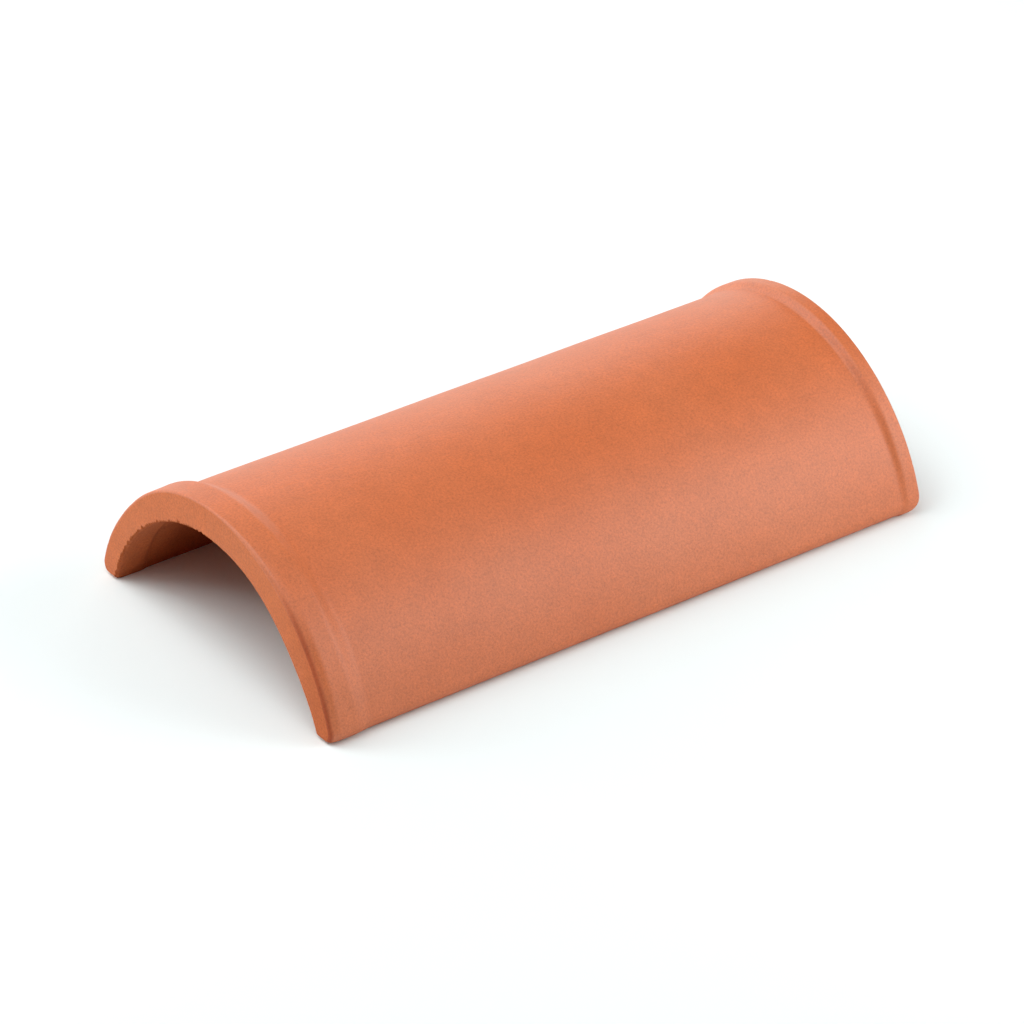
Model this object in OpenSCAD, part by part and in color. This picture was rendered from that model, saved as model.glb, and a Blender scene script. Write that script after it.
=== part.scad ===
// Half-round clay roof tile, one piece of fired clay, laid arch up on its two long feet.
// Millimetres. X runs along the tile, Y across it, Z up. The feet lie on Z = 0 and the
// tile is centred on X = 0, Y = 0. The wide end, with the broad collar, is at -X.

/* [Tile] */
// length along the arch, end face to end face
tile_length = 400; // [300:5:500]
// width of the plain arch where its outer face meets the floor, half way along
body_width = 218; // [170:1:280]
// height of the plain arch, half way along
body_height = 86.5; // [65:0.5:115]
// how much smaller the arch's radius is at +X than at -X
taper = 2.4; // [0:0.2:10]
// wall of the plain arch, measured square to its face
wall = 11.5; // [8:0.5:20]

/* [Broad collar] */
// width of its level band
broad_band = 16; // [8:0.5:40]
// how far it stands out at the crown
broad_rise = 5.5; // [2:0.25:8]
// slope of its inner shoulder, from the tile's length
broad_slope = 26; // [15:1:70]
// radius of the outer edge round its end face
broad_edge = 1.25; // [0.5:0.25:5]

/* [Slim collar] */
// width of its level band
slim_band = 8.5; // [4:0.5:40]
// how far it stands out at the crown
slim_rise = 3.75; // [2:0.25:8]
// slope of its inner shoulder, from the tile's length
slim_slope = 40; // [15:1:70]
// radius of the outer edge round its end face
slim_edge = 2.25; // [0.5:0.25:5]

/* [Rims] */
// depth of the thickened rim inside each mouth
rim_depth = 18; // [8:0.5:40]
// how far a rim stands in at the crown
rim_rise = 2.75; // [1:0.25:5]
// slope of a rim's inner shoulder, from the tile's length
rim_slope = 38; // [15:1:70]

/* [Feet] */
// how far collars and rims still stand out at the feet
foot_rise = 1; // [0.4:0.1:2]
// radius of the outer corner along each foot
foot_round = 6.5; // [2:0.5:9]
// radius of the corner between each foot and the end face with the broad collar
broad_corner = 3; // [1:0.5:12]
// radius of the corner between each foot and the end face with the slim collar
slim_corner = 10; // [1:0.5:12]

/* [Hidden] */
// straight steps in each rounded edge
ROUND_STEPS = 6;
// how far cutting shapes reach past what they cut
SPARE = 20;
// how deep a collar or a rim is bedded in the wall
BED = wall / 2;

half_length = tile_length / 2;
mid_radius = (pow(body_width / 2, 2) + pow(body_height, 2)) / (2 * body_height);
wide_radius = mid_radius + taper / 2;
narrow_radius = mid_radius - taper / 2;
arch_centre = body_height - mid_radius;
foot_cos = -arch_centre / mid_radius;
foot_lean = atan(taper * mid_radius / (body_width / 2) / tile_length);

$fn = 120;

// a ring that stands out by rise at the crown and by foot_rise at the feet is a circle whose
// centre is this much above the arch's centre
function centre_shift(rise) = (rise - foot_rise) / (1 - foot_cos);

// corner points of a rounded edge of radius r about c, from angle a0 to angle a1
function round_points(c, r, a0, a1) = [
    for (i = [0 : ROUND_STEPS])
        let (a = a0 + (a1 - a0) * i / ROUND_STEPS)
        c + r * [cos(a), sin(a)]
];

// turns a [radius, length] outline about the tile's length, on the arch's centre moved up by lift
module turned(lift) {
    translate([0, 0, arch_centre + lift])
        rotate([0, 90, 0])
            rotate_extrude()
                children();
}

// the plain arch, before it is cut off at the floor
module barrel() {
    turned(0)
        polygon([
            [wide_radius - wall, -half_length],
            [wide_radius, -half_length],
            [narrow_radius, half_length],
            [narrow_radius - wall, half_length]
        ]);
}

// a collar on the end at -X, where the plain arch has this radius
module collar(radius, band, rise, slope) {
    lift = centre_shift(rise);
    top = radius + rise - lift;
    bed = radius - BED - lift;
    turned(lift)
        polygon([
            [bed, -half_length],
            [top, -half_length],
            [top, -half_length + band],
            [bed, -half_length + band + (top - bed) / tan(slope)]
        ]);
}

// what is cut away round the outer edge of that end
module end_edge(radius, rise, edge) {
    lift = centre_shift(rise);
    top = radius + rise - lift;
    turned(lift)
        polygon(concat(
            round_points([top - edge, -half_length + edge], edge, 0, -90),
            [
                [top - edge, -half_length - SPARE],
                [top + SPARE, -half_length - SPARE],
                [top + SPARE, -half_length + edge]
            ]
        ));
}

// the rim inside the mouth of that end
module rim(radius) {
    drop = centre_shift(rim_rise);
    tip = radius - wall - rim_rise + drop;
    bed = radius - wall + BED + drop;
    turned(-drop)
        polygon([
            [tip, -half_length],
            [bed, -half_length],
            [bed, -half_length + rim_depth + (bed - tip) / tan(rim_slope)],
            [tip, -half_length + rim_depth]
        ]);
}

// what is cut away below the floor
module below_floor() {
    reach = wide_radius + SPARE;
    translate([-half_length - SPARE, -reach, arch_centre - reach])
        cube([tile_length + 2 * SPARE, 2 * reach, reach - arch_centre]);
}

// what is cut away along the outer corner of the foot at +Y, which leans in towards +X
module foot_edge() {
    to_corner = mid_radius - foot_round;
    rise = foot_round - arch_centre;
    across = sqrt(pow(to_corner, 2) - pow(rise, 2));
    start = atan2(rise, across);
    edge = round_points([across, foot_round], foot_round, start, -90);
    out = edge[0] + SPARE * [cos(start), sin(start)];
    translate([0, across, 0])
        rotate([90, 0, 90 - foot_lean])
            translate([-across, 0, -half_length - SPARE])
                linear_extrude(height = tile_length + 2 * SPARE)
                    polygon(concat(
                        edge,
                        [[across, -SPARE], [out[0], -SPARE], out]
                    ));
}

// what is cut away at both ends of the feet, at -X
module foot_corner(corner) {
    centre = [-half_length + corner, corner];
    reach = wide_radius + SPARE;
    translate([0, reach, 0])
        rotate([90, 0, 0])
            linear_extrude(height = 2 * reach)
                polygon(concat(
                    round_points(centre, corner, -90, -180),
                    [
                        [-half_length - SPARE, corner],
                        [-half_length - SPARE, -SPARE],
                        [centre[0], -SPARE]
                    ]
                ));
}

module tile_body() {
    color([0.76, 0.42, 0.28])
        difference() {
            union() {
                barrel();
                collar(wide_radius, broad_band, broad_rise, broad_slope);
                mirror([1, 0, 0])
                    collar(narrow_radius, slim_band, slim_rise, slim_slope);
                rim(wide_radius);
                mirror([1, 0, 0])
                    rim(narrow_radius);
            }
            end_edge(wide_radius, broad_rise, broad_edge);
            mirror([1, 0, 0])
                end_edge(narrow_radius, slim_rise, slim_edge);
            below_floor();
            foot_edge();
            mirror([0, 1, 0])
                foot_edge();
            foot_corner(broad_corner);
            mirror([1, 0, 0])
                foot_corner(slim_corner);
        }
}

tile_body();
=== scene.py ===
"""The looks of a half-round clay roof tile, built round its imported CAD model. Metres throughout."""

import math

import bpy
import numpy as np
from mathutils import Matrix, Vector, noise


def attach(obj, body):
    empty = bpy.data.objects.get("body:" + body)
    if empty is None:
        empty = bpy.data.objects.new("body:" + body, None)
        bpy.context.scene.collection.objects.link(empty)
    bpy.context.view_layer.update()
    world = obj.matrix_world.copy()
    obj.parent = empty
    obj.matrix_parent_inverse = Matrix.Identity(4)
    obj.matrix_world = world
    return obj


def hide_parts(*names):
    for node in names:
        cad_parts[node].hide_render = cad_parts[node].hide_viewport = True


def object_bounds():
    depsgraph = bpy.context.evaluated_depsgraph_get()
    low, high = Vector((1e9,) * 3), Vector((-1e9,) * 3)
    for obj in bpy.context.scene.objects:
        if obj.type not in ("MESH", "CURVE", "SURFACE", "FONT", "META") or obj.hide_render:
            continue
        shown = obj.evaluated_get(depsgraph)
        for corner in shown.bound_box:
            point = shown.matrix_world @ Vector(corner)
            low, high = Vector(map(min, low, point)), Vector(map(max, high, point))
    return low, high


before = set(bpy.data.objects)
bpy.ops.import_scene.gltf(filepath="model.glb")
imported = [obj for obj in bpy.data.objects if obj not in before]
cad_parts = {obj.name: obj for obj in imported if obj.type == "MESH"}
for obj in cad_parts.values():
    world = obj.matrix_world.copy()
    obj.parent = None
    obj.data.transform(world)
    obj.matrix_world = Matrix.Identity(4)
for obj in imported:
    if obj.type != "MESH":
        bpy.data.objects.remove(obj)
cad_low, cad_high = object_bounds()

# ---------------------------------------------------------------- sizes
# They repeat the CAD source, but for FOOT_RISE, MOUTH_ROUND, the broad collar's edge and the slim
# collar's corner, which are a little different or only here. Angles are in radians.
LENGTH = cad_high.x - cad_low.x
BODY_WIDTH = 0.218        # plain arch, outer face at the floor, half way along
BODY_HEIGHT = 0.0865      # plain arch, half way along
TAPER = 0.0024            # how much the arch's radius shrinks from -X to +X
WALL = 0.0115
FOOT_RISE = 0.0008        # what is left of a collar or rim at the feet
FOOT_ROUND = 0.0065       # outer corner along each foot
MOUTH_ROUND = 0.0005      # inner edge round each end face
RIM_DEPTH = 0.018
RIM_RISE = 0.00275
RIM_RUN = 0.0035          # length of the rim's shoulder

RADIUS = ((BODY_WIDTH / 2) ** 2 + BODY_HEIGHT ** 2) / (2 * BODY_HEIGHT)
CENTRE = BODY_HEIGHT - RADIUS             # height of the arch's centre, below the floor
FOOT_COS = -CENTRE / RADIUS

# each end: its side, how far its collar stands out, that collar's level band and the length of
# its shoulder, the rounding of its outer edge and of the corners of its feet
COLLARS = (
    dict(side=-1, rise=0.0055, band=0.016, run=0.0113, edge=0.0017, corner=0.003),
    dict(side=1, rise=0.00375, band=0.0085, run=0.0045, edge=0.00225, corner=0.012),
)

# ---------------------------------------------------------------- what pressing and firing changed
# on the wide end: how far a face moves, the angle from the crown towards +Y where it moves most,
# how far that spreads, and how far it reaches in from the end face
SHOULDER_SLUMP = dict(size=0.0016, middle=0.85, spread=0.28, reach=0.030)    # one shoulder sank
EDGE_SLUMP = dict(size=0.0018, middle=-0.95, spread=0.45, reach=0.0065)      # so did one edge
THICK_FLANK = dict(size=0.0048, middle=-0.9, spread=0.45, reach=RIM_DEPTH)   # the rim stands in

FLANK_EDGE = 0.0026              # rounding of the end faces' outer edges down the flank at -Y,
FLANK_START = 0.05               # which starts this far from the crown
FLANK_FADE = 0.4                 # and is full after this much more

TEAR_DEPTH = 0.0022              # how deep the torn inner edges reach into the mouths
TEAR_RISE = 0.0018               # how far up its face the wide end's edge is torn
TEAR_LEAST = 0.00015             # and how far every other edge is
TEAR_START = -0.1                # the angle where the deeper teeth begin
TEAR_FADE = 0.35                 # and how far on they are full
TOOTH_PITCH = 0.0028             # from tooth to tooth
TOOTH_DRIFT = 6.0                # how unevenly they are spaced

# how deep a face sinks at most, and how fine its pattern is, in waves to the metre
SAG = dict(size=0.00035, scale=22.0)
RIPPLE = dict(size=0.00008, scale=110.0)
PITS = dict(size=0.0004, scale=420.0)
RIPPLE_SHIFT = Vector((5.0, 1.0, 8.0))    # keeps it apart from the sag
PIT_LEVEL = 0.35                 # how high that pattern has to be to make a pit
STILL_HEIGHT = 0.004             # it all fades out below this, so the feet stay flat

# ---------------------------------------------------------------- mesh
ARC_CELLS = {1: 228, -1: 112}    # across each half of the arch, closer together at +Y
FOOT_CELLS = 8            # round each foot's outer corner
WALL_CELLS = 6            # through the wall, on the end faces and under the feet
EDGE_CELLS = 8            # round the outer edge of an end face
LIP_DEPTH = 0.005         # stretch next to each end face that has
LIP_STEP = 0.0005         # this spacing of its stations
COLLAR_STEP = 0.0012      # spacing of the stations along a collar
BODY_STEP = 0.0062        # and along the plain arch
COLLAR_MARGIN = 0.002     # how far past a shoulder the collar's spacing goes on
CORNER_REACH = 2.0        # how far a foot's rounded corner carries the mesh along, in its radii
FOOT_PASSES = 4           # rounds that find where an outline comes down to a foot

# which material each side of the block of cells has: 0 its outer face, 2 its inner face, or else 1
SKINS = {(2, 0): 0, (2, WALL_CELLS): 2}

# ---------------------------------------------------------------- painted shade: where each is none, and full
# painted shade along the outer edge of the wide end
EDGE_SHADE_X = (-0.1970, -0.1993)     # a dark line along the outer edge of the wide end,
EDGE_SHADE_Y = (-0.055, -0.088)       # down its flank at -Y
# painted shade deep inside the arch
INNER_SHADE_DEPTH = (0.014, 0.045)       # the inside, away from both mouths
# painted shade on the cut faces towards the foot at -Y
FOOT_SHADE_Y = (-0.055, -0.105)        # the cut faces, towards the foot at -Y
SHADE_ROUGHNESS = 0.95

# ---------------------------------------------------------------- clay
# noise scales, in waves to the metre
FIRING_SCALE = 11.0
MOTTLE_SCALE = 70.0
GRAIN_SCALE = 800.0
SAND_SCALE = 520.0
# stops of its ramps: position and colour
MOTTLE_STOPS = ((0.3, (0.93, 0.93, 0.93)), (0.7, (1.05, 1.05, 1.05)))
GRAIN_STOPS = ((0.25, (0.72, 0.64, 0.57)), (0.5, (1.0, 1.0, 1.0)), (0.75, (1.20, 1.25, 1.28)))
SAND_STOPS = ((0.10, (0.80, 0.66, 0.55)), (0.24, (1.0, 1.0, 1.0)))
SAND_STRENGTH = 0.6
ROUGHNESS_SPREAD = 0.04
PORE_DEPTH = 0.0003
SWELL_DEPTH = 0.001

# ---------------------------------------------------------------- floor
FLOOR_SIZE = 8.0
FLOOR_DROP = 0.0002        # how far it lies under the feet
FLOOR_COLOUR = (0.84, 0.905, 0.905, 1.0)
FLOOR_ROUGHNESS = 0.9
FLOOR_GLOSS = 0.1

# ---------------------------------------------------------------- the photograph's view
VIEW_AZIMUTH = math.radians(53.94)    # of the tile's length, seen from the camera
VIEW_ELEVATION = math.radians(31.79)
VIEW_DISTANCE = 4.218
VIEW_TARGET = Vector((0.0165, 0.0268, 0.0))
FOCAL_PIXELS = 7620.7                 # focal length over a 1024 pixel frame
FRAME_PIXELS = 1024
SENSOR = 36.0

# ---------------------------------------------------------------- lights
LIT_POINT = Vector((0.0, 0.0, 0.04))
# name, azimuth (from +X towards +Y) and elevation in degrees, distance, size, watts
LIGHTS = (
    ("right", 315, 30, 2.6, 1.3, 18.7),
    ("right_front", 292, 30, 2.6, 1.3, 3.2),
    ("right_near", 315, 20, 0.9, 0.6, 1.75),
    ("right_end_near", 340, 25, 0.9, 0.6, 1.0),
    ("right_front_near", 290, 25, 0.9, 0.6, 0.4),
    ("front_high", 240, 58, 2.6, 1.3, 5.6),
    ("front_top", 240, 75, 2.6, 1.3, 10.7),
    ("end_near", 180, 30, 0.9, 0.6, 0.6),
    ("end_high", 180, 58, 2.6, 1.3, 9.4),
    ("left_top", 150, 75, 2.6, 1.3, 8.5),
    ("left_high", 120, 58, 2.6, 1.3, 19.0),
    ("left", 135, 30, 2.6, 1.3, 18.7),
    ("left_low", 135, 8, 2.6, 1.3, 10.6),
    ("behind", 90, 30, 2.6, 1.3, 6.2),
    ("behind_low", 90, 8, 2.6, 1.3, 12.5),
    ("behind_near", 60, 20, 0.9, 0.6, 1.35),
    ("behind_right_low", 45, 8, 2.6, 1.3, 7.0),
)


# ================================================================ shape
def smooth_step(t):
    t = np.clip(t, 0.0, 1.0)
    return t * t * (3.0 - 2.0 * t)


def slump(x, angle, size, middle, spread, reach):
    """A smooth hump on the wide end, as high as size, that fades out along the tile."""
    hump = np.exp(-((angle - middle) / spread) ** 2)
    return size * hump * smooth_step(1.0 - (LENGTH / 2 + x) / reach)


def raised_circle(angle, radius, lift):
    """Distance from the arch's centre to a circle whose own centre lies lift above it."""
    return lift * np.cos(angle) + np.sqrt(radius ** 2 - (lift * np.sin(angle)) ** 2)


def centre_shift(rise):
    """How far a ring's centre is moved so that rise falls to FOOT_RISE at the feet."""
    return (rise - FOOT_RISE) / (1.0 - FOOT_COS)


def arch_radius(x):
    return RADIUS - TAPER * x / LENGTH


def quarter_inset(depth, radius):
    """How far a rounded edge of that radius falls back, at depth from the face it meets."""
    reach = np.clip(radius - depth, 0.0, radius)
    return radius - np.sqrt(radius ** 2 - reach ** 2)


def outer_radius(x, angle):
    """Outer face at station x: the plain arch, its two collars and their rounded ends."""
    plain = arch_radius(x)
    radius = np.full_like(angle, plain)
    rounder = smooth_step((-angle - FLANK_START) / FLANK_FADE)
    for collar in COLLARS:
        depth = LENGTH / 2 - collar["side"] * x
        lift = centre_shift(collar["rise"])
        stands_out = raised_circle(angle, plain + collar["rise"] - lift, lift) - plain
        radius += stands_out * smooth_step((collar["band"] + collar["run"] - depth) / collar["run"])
        radius -= quarter_inset(depth, collar["edge"] + (FLANK_EDGE - collar["edge"]) * rounder)
    return radius - (slump(x, angle, **SHOULDER_SLUMP) + slump(x, angle, **EDGE_SLUMP))


def inner_radius(x, angle):
    """Inner face at station x: the plain arch, its two rims and their torn edges."""
    plain = arch_radius(x) - WALL
    drop = centre_shift(RIM_RISE)
    stands_in = plain - raised_circle(angle, plain - RIM_RISE + drop, -drop)
    depth = LENGTH / 2 - abs(x)
    radius = plain - stands_in * smooth_step((RIM_DEPTH + RIM_RUN - depth) / RIM_RUN)
    radius -= slump(x, angle, **THICK_FLANK)
    return radius + quarter_inset(depth, MOUTH_ROUND) + torn_edge(x, angle, depth)


def wander(angle, rate, lane, row):
    """Noise along an edge, with that many waves to the radian."""
    return np.array([noise.noise(Vector((a * rate, lane, row))) for a in angle])


def torn_edge(x, angle, depth):
    """Small teeth in the inner edge of an end face, deepest at +Y of the wide end."""
    if depth > TEAR_DEPTH:
        return 0.0
    side = math.copysign(1.0, x)
    drift = wander(angle, 9.0, side * 7.0, 3.0)
    height = wander(angle, 31.0, side * 5.0, 8.0)
    teeth = np.abs(np.sin(angle * RADIUS / TOOTH_PITCH * math.pi + TOOTH_DRIFT * drift))
    worst = smooth_step((angle - TEAR_START) / TEAR_FADE) if x < 0 else np.zeros_like(angle)
    worst = worst * np.clip(0.75 + 0.9 * height, 0.2, 1.3)
    deepest = TEAR_LEAST + (TEAR_RISE - TEAR_LEAST) * worst
    return deepest * teeth * smooth_step(1.0 - depth / TEAR_DEPTH)


def half_section(x, side):
    """Outer and inner outlines of one half of the section, from the crown to the foot."""
    arc_cells = ARC_CELLS[side]
    cell = np.arange(1, arc_cells + FOOT_CELLS + 1)

    # outer: an arc down to where the foot's rounded corner starts, then that corner
    turn = math.acos(FOOT_COS)
    for _ in range(FOOT_PASSES):
        foot = float(outer_radius(x, np.array([side * turn]))[0])
        across = math.sqrt((foot - FOOT_ROUND) ** 2 - (FOOT_ROUND - CENTRE) ** 2)
        turn = math.atan2(across, FOOT_ROUND - CENTRE)
    angle = turn * cell[:arc_cells] / arc_cells
    radius = outer_radius(x, side * angle)
    arc = np.column_stack([radius * np.sin(angle), CENTRE + radius * np.cos(angle)])
    angle = turn + (math.pi - turn) * np.arange(1, FOOT_CELLS + 1) / FOOT_CELLS
    middle = np.array([across, FOOT_ROUND])
    corner = middle + FOOT_ROUND * np.column_stack([np.sin(angle), np.cos(angle)])
    outer = np.vstack([arc, corner])

    # inner: one arc down to the floor
    turn = math.acos(FOOT_COS)
    for _ in range(FOOT_PASSES):
        turn = math.acos(-CENTRE / float(inner_radius(x, np.array([side * turn]))[0]))
    angle = turn * cell / cell[-1]
    radius = inner_radius(x, side * angle)
    inner = np.column_stack([radius * np.sin(angle), CENTRE + radius * np.cos(angle)])
    inner[-1, 1] = 0.0
    return outer * [side, 1], inner * [side, 1]


def section(x):
    """Outer and inner outlines at station x, each from the foot at -Y to the foot at +Y."""
    crown = np.zeros(1)
    tops = [np.array([[0.0, CENTRE + r(x, crown)[0]]]) for r in (outer_radius, inner_radius)]
    left, right = half_section(x, -1), half_section(x, 1)
    return [np.vstack([left[k][::-1], tops[k], right[k]]) for k in (0, 1)]


def stations():
    """Places along the tile, close together round the end edges and along the collars."""
    ends = []
    for collar in COLLARS:
        turn = np.linspace(0.0, math.pi / 2, EDGE_CELLS + 1)
        edge = collar["edge"] * (1.0 - np.cos(turn))
        reach = max(collar["band"] + collar["run"], RIM_DEPTH + RIM_RUN) + COLLAR_MARGIN
        lip = np.linspace(edge[-1], LIP_DEPTH, round((LIP_DEPTH - edge[-1]) / LIP_STEP) + 1)[1:]
        band = np.linspace(LIP_DEPTH, reach, round((reach - LIP_DEPTH) / COLLAR_STEP) + 1)[1:]
        ends.append(np.concatenate([edge, lip, band]))
    start, stop = -LENGTH / 2 + ends[0], LENGTH / 2 - ends[1][::-1]
    middle = np.linspace(start[-1], stop[0], round((stop[0] - start[-1]) / BODY_STEP) + 1)[1:-1]
    return np.concatenate([start, middle, stop])


def round_foot_corners(points):
    """Carries the points near each end back along the tile where it curves down to its feet."""
    for collar in COLLARS:
        depth = LENGTH / 2 - collar["side"] * points[:, 0]
        back = quarter_inset(np.clip(points[:, 2], 0.0, None), collar["corner"])
        fade = np.clip(1.0 - depth / (CORNER_REACH * collar["corner"]), 0.0, 1.0)
        points[:, 0] -= collar["side"] * back * fade


def block_faces(sizes, number):
    """Quads on the six sides of a block of cells, wound to face out, and how many each side has."""
    faces, counts = [], {}
    for axis in range(3):
        u, v = [k for k in range(3) if k != axis]
        for level in (0, sizes[axis]):
            flip = (level > 0) ^ (axis == 1)
            counts[axis, level] = sizes[u] * sizes[v]
            for i in range(sizes[u]):
                for j in range(sizes[v]):
                    quad = []
                    for du, dv in ((0, 0), (1, 0), (1, 1), (0, 1)):
                        corner = [level] * 3
                        corner[u], corner[v] = i + du, j + dv
                        quad.append(number[tuple(corner)])
                    faces.append(quad[::-1] if flip else quad)
    return faces, counts


def tile_mesh():
    """The tile as a bent block of cells: along its length, across the arch, and through its wall."""
    xs = stations()
    cells = (len(xs) - 1, sum(ARC_CELLS.values()) + 2 * FOOT_CELLS, WALL_CELLS)
    number = -np.ones([c + 1 for c in cells], int)
    points = []
    for s, x in enumerate(xs):
        outer, inner = section(x)
        for k in range(cells[2] + 1):
            on_skin = s in (0, cells[0]) or k in (0, cells[2])
            row = outer + (inner - outer) * k / cells[2]
            for i in (range(cells[1] + 1) if on_skin else (0, cells[1])):
                number[s, i, k] = len(points)
                points.append((x, row[i, 0], row[i, 1]))
    points = np.array(points)
    round_foot_corners(points)
    mesh = bpy.data.meshes.new("clay_tile")
    faces, counts = block_faces(cells, number)
    mesh.from_pydata(points.tolist(), [], faces)
    skins = [np.full(count, SKINS.get(side, 1)) for side, count in counts.items()]
    mesh.polygons.foreach_set("material_index", np.concatenate(skins))
    mesh.update()
    return mesh


def weather(mesh):
    """Sinks the faces a little here and there, as pressed and fired clay is never quite true."""
    places = np.array([v.co for v in mesh.vertices])
    normals = np.array([v.normal for v in mesh.vertices])
    sunk = np.empty(len(places))
    for i, place in enumerate(places):
        p = Vector(place)
        sag = 0.5 + 0.5 * noise.noise(p * SAG["scale"])
        ripple = 0.5 + 0.5 * noise.noise(p * RIPPLE["scale"] + RIPPLE_SHIFT)
        pits = max(0.0, noise.noise(p * PITS["scale"]) - PIT_LEVEL)
        deep = SAG["size"] * sag + RIPPLE["size"] * ripple + PITS["size"] * pits
        sunk[i] = deep * min(1.0, p.z / STILL_HEIGHT)
    mesh.vertices.foreach_set("co", (places - normals * sunk[:, None]).ravel())
    mesh.update()


# ================================================================ material
def node(tree, kind, **values):
    """A new node; values are its properties, or its inputs by name."""
    made = tree.nodes.new(kind)
    for name, value in values.items():
        if hasattr(made, name):
            setattr(made, name, value)
        else:
            made.inputs[name.replace("_", " ")].default_value = value
    return made


def ramp(tree, factor, stops):
    """A colour ramp on that factor, with (position, colour) stops."""
    made = tree.nodes.new("ShaderNodeValToRGB")
    marks = made.color_ramp.elements
    while len(marks) < len(stops):
        marks.new(0.5)
    for mark, (position, colour) in zip(marks, stops):
        mark.position = position
        mark.color = (*colour, 1.0)
    tree.links.new(factor, made.inputs["Fac"])
    return made.outputs["Color"]


def grey(v):
    return (v, v, v)


def feed(tree, socket, value):
    """Links value to the socket if it is an output, or else sets it there."""
    if isinstance(value, bpy.types.NodeSocket):
        tree.links.new(value, socket)
    else:
        socket.default_value = value


def mix(tree, kind, factor, a, b):
    """Two colours mixed; a colour Mix node has its factor, A and B at inputs 0, 6 and 7."""
    made = node(tree, "ShaderNodeMix", data_type="RGBA", blend_type=kind)
    for k, value in ((0, factor), (6, a), (7, b)):
        feed(tree, made.inputs[k], value)
    return made.outputs[2]


def maths(tree, kind, *values):
    """The result of one Math node."""
    made = node(tree, "ShaderNodeMath", operation=kind)
    for socket, value in zip(made.inputs, values):
        feed(tree, socket, value)
    return made.outputs["Value"]


def slope(tree, value, none, full):
    """0 where value is at none, rising smoothly to 1 where it is at full."""
    made = node(tree, "ShaderNodeMapRange", interpolation_type="SMOOTHSTEP", From_Min=none, From_Max=full)
    tree.links.new(value, made.inputs["Value"])
    return made.outputs["Result"]


def painted_edge_shade(tree, axes):
    """1 along a dark line of painted shade on the outer edge of the wide end."""
    along, down = slope(tree, axes["X"], *EDGE_SHADE_X), slope(tree, axes["Y"], *EDGE_SHADE_Y)
    return maths(tree, "MULTIPLY", along, down)


def painted_foot_shade(tree, axes):
    """1 on the cut faces towards the foot at -Y: painted shade, darker towards that foot."""
    return slope(tree, axes["Y"], *FOOT_SHADE_Y)


def painted_inner_shade(tree, axes):
    """1 well inside the arch: painted shade, darker away from both mouths."""
    depth = maths(tree, "SUBTRACT", LENGTH / 2, maths(tree, "ABSOLUTE", axes["X"]))
    return slope(tree, depth, *INNER_SHADE_DEPTH)


def clay(name, warm, pale, rough, gloss, coarse, painted_shade, shade_tint):
    """Unglazed terracotta, mottled between two colours, with a sandy grain and painted shade of that tint.
    """
    material = bpy.data.materials.new(name)
    material.use_nodes = True
    tree = material.node_tree
    link = tree.links.new
    shader = tree.nodes["Principled BSDF"]
    where = tree.nodes.new("ShaderNodeTexCoord").outputs["Object"]

    def cloud(scale, detail, fineness=0.5):
        made = node(tree, "ShaderNodeTexNoise", Scale=scale, Detail=detail, Roughness=fineness)
        link(where, made.inputs["Vector"])
        return made.outputs["Fac"]

    firing = cloud(FIRING_SCALE, 3.0)
    mottle = cloud(MOTTLE_SCALE, 5.0, 0.65)
    grain = cloud(GRAIN_SCALE, 4.0, 0.75)
    sand = node(tree, "ShaderNodeTexVoronoi", Scale=SAND_SCALE)
    link(where, sand.inputs["Vector"])

    colour = ramp(tree, firing, [(0.35, warm), (0.65, pale)])
    colour = mix(tree, "MULTIPLY", 1.0, colour, ramp(tree, mottle, MOTTLE_STOPS))
    colour = mix(tree, "MULTIPLY", 1.0, colour, ramp(tree, grain, GRAIN_STOPS))
    colour = mix(tree, "MULTIPLY", SAND_STRENGTH, colour, ramp(tree, sand.outputs["Distance"], SAND_STOPS))
    smooth, coarser = grey(rough - ROUGHNESS_SPREAD), grey(rough + ROUGHNESS_SPREAD)
    roughness = ramp(tree, grain, [(0.2, smooth), (0.8, coarser)])

    axes = tree.nodes.new("ShaderNodeSeparateXYZ")
    link(where, axes.inputs["Vector"])
    # painted shade: the mask darkens the colour by its tint and makes the clay rougher there
    shade_amount = painted_shade(tree, axes.outputs)
    colour = mix(tree, "MULTIPLY", shade_amount, colour, (*shade_tint, 1.0))
    roughness = mix(tree, "MIX", shade_amount, roughness, (*grey(SHADE_ROUGHNESS), 1.0))
    link(colour, shader.inputs["Base Color"])
    link(roughness, shader.inputs["Roughness"])
    shader.inputs["Specular IOR Level"].default_value = gloss

    swell = node(tree, "ShaderNodeBump", Strength=0.2, Distance=SWELL_DEPTH * coarse)
    link(mottle, swell.inputs["Height"])
    pores = node(tree, "ShaderNodeBump", Strength=0.4, Distance=PORE_DEPTH * coarse)
    link(grain, pores.inputs["Height"])
    link(swell.outputs["Normal"], pores.inputs["Normal"])
    link(pores.outputs["Normal"], shader.inputs["Normal"])
    return material


# the tile's finishes, in the order that SKINS numbers them: name and its two colours, then
# roughness, gloss, how coarse its pores are, the mask of its painted shade and that shade's tint
FINISHES = (
    ("smoothed_clay", (0.585, 0.132, 0.029), (0.59, 0.145, 0.039),
     0.54, 0.85, 1.0, painted_edge_shade, (0.70, 0.50, 0.36)),
    ("cut_clay", (0.612, 0.144, 0.033), (0.612, 0.154, 0.041),
     0.72, 0.58, 1.6, painted_foot_shade, (0.88, 0.82, 0.79)),
    # inner_clay's colours are darker than cut_clay's: painted shade inside the arch; its roughness, gloss
    # and pores are its own
    ("inner_clay", (0.51, 0.108, 0.022), (0.52, 0.120, 0.030),
     0.80, 0.40, 1.6, painted_inner_shade, (0.80, 0.70, 0.60)),
)


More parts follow.
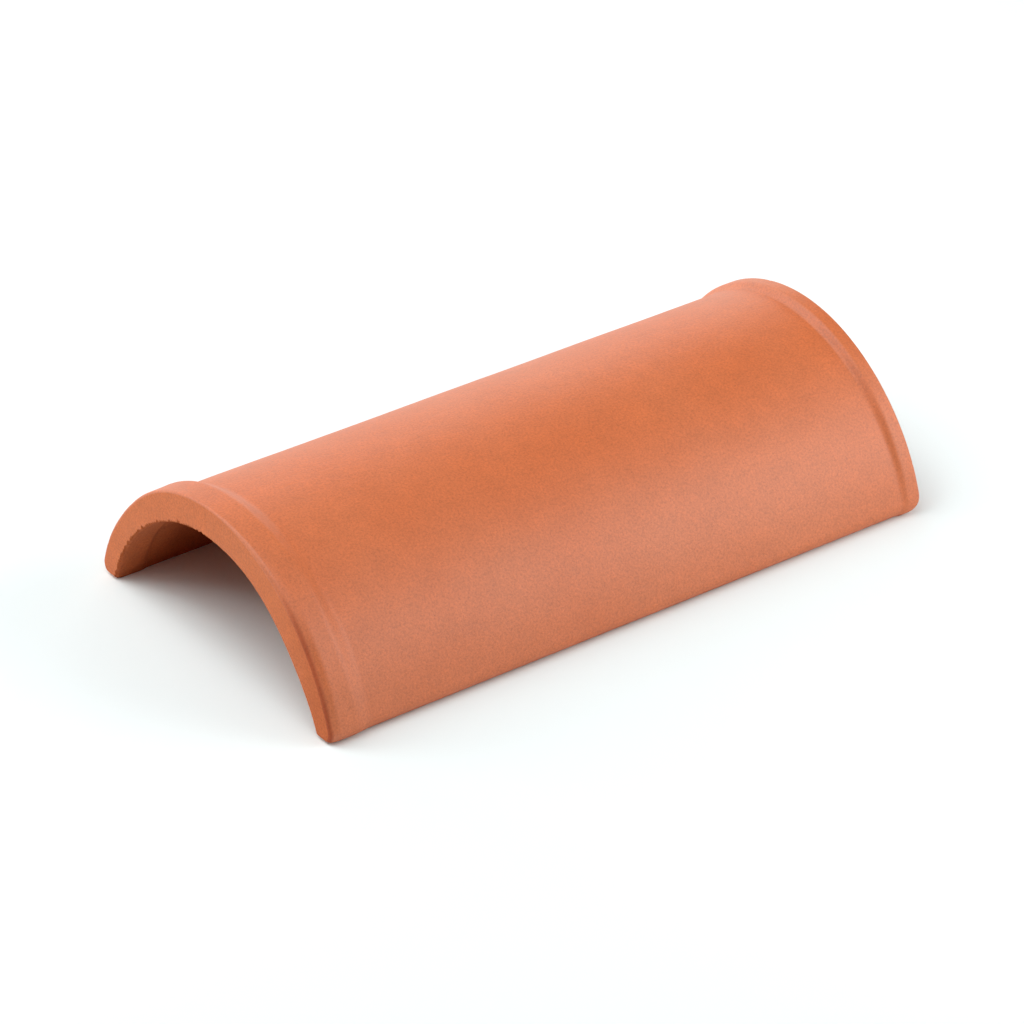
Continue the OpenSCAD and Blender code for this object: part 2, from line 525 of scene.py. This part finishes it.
# ================================================================ stage
def floor():
    """A wide pale floor just under the feet."""
    mesh = bpy.data.meshes.new("floor")
    sides = ((-1, -1), (1, -1), (1, 1), (-1, 1))
    corners = [(x * FLOOR_SIZE, y * FLOOR_SIZE, -FLOOR_DROP) for x, y in sides]
    mesh.from_pydata(corners, [], [(0, 1, 2, 3)])
    made = bpy.data.objects.new("floor", mesh)
    bpy.context.collection.objects.link(made)
    material = bpy.data.materials.new("pale_floor")
    material.use_nodes = True
    shader = material.node_tree.nodes["Principled BSDF"]
    shader.inputs["Base Color"].default_value = FLOOR_COLOUR
    shader.inputs["Roughness"].default_value = FLOOR_ROUGHNESS
    shader.inputs["Specular IOR Level"].default_value = FLOOR_GLOSS
    mesh.materials.append(material)


def soft_lights():
    """Square area lights all round, each turned to the tile, in a room with no light of its own."""
    world = bpy.data.worlds.new("room")
    bpy.context.scene.world = world
    world.use_nodes = True
    world.node_tree.nodes["Background"].inputs["Strength"].default_value = 0.0
    for name, azimuth, elevation, distance, size, power in LIGHTS:
        a, e = math.radians(azimuth), math.radians(elevation)
        out = Vector((math.cos(a) * math.cos(e), math.sin(a) * math.cos(e), math.sin(e)))
        data = bpy.data.lights.new(name, "AREA")
        data.size = size
        data.energy = power
        made = bpy.data.objects.new(name, data)
        made.location = LIT_POINT + out * distance
        made.rotation_euler = (-out).to_track_quat("-Z", "Y").to_euler()
        made.visible_camera = False
        bpy.context.collection.objects.link(made)


def camera():
    """The photograph's viewing angle, framing and perspective."""
    data = bpy.data.cameras.new("camera")
    data.sensor_width = SENSOR
    data.lens = FOCAL_PIXELS / FRAME_PIXELS * SENSOR
    data.clip_start, data.clip_end = 0.1, 50.0
    back = Vector((
        -math.cos(VIEW_AZIMUTH) * math.cos(VIEW_ELEVATION),
        -math.sin(VIEW_AZIMUTH) * math.cos(VIEW_ELEVATION),
        math.sin(VIEW_ELEVATION),
    ))
    made = bpy.data.objects.new("camera", data)
    made.location = VIEW_TARGET + back * VIEW_DISTANCE
    made.rotation_euler = (-back).to_track_quat("-Z", "Y").to_euler()
    bpy.context.collection.objects.link(made)
    bpy.context.scene.camera = made


# ================================================================ build
mesh = tile_mesh()
weather(mesh)
mesh.polygons.foreach_set("use_smooth", [True] * len(mesh.polygons))
for finish in FINISHES:
    mesh.materials.append(clay(*finish))
tile = bpy.data.objects.new("clay_tile", mesh)
bpy.context.collection.objects.link(tile)
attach(tile, "root")
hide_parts("tile_body")

floor()
soft_lights()
camera()
bpy.context.scene.view_settings.view_transform = "Standard"
